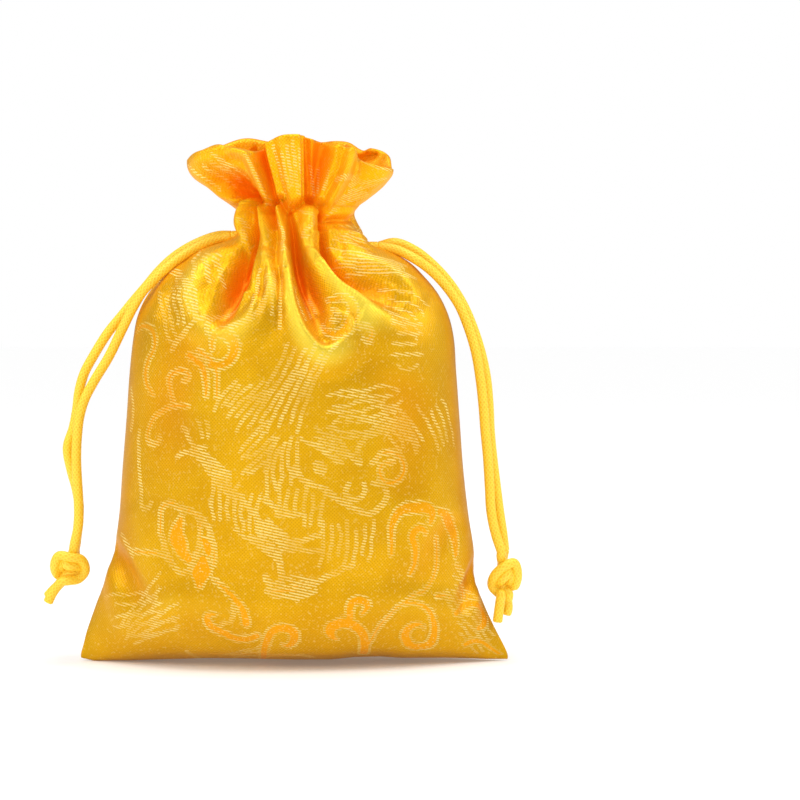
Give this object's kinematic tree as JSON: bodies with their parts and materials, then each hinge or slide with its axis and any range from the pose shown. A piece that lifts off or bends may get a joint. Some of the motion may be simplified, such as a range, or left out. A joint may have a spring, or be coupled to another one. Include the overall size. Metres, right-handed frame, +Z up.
{
  "type": "drawstring pouch",
  "caption": "Small filled satin brocade drawstring pouch, standing, its mouth drawn shut by two side drawcords that end in knots.",
  "frame": {"origin": "middle of the flat base, where the pouch stands", "axes": "+Z up through the gathered neck; the broad front panel faces -Y; +X runs to the right-hand side seam as the front is looked at"},
  "size_m": [0.1116, 0.0504, 0.1226],
  "materials": {
    "golden_brocade": "satin jacquard cloth with pale cream and orange woven figures",
    "golden_braid": "fine round braided cord with a soft sheen"
  },
  "bodies": {
    "root": {"pouch": "golden_brocade", "left_cord_casing_run": "golden_braid", "left_cord_front_strand": "golden_braid", "left_cord_back_strand": "golden_braid", "left_cord_knot": "golden_braid", "left_cord_front_tail": "golden_braid", "left_cord_back_tail": "golden_braid", "right_cord_casing_run": "golden_braid", "right_cord_front_strand": "golden_braid", "right_cord_back_strand": "golden_braid", "right_cord_knot": "golden_braid", "right_cord_front_tail": "golden_braid", "right_cord_back_tail": "golden_braid"}
  },
  "joints": []
}
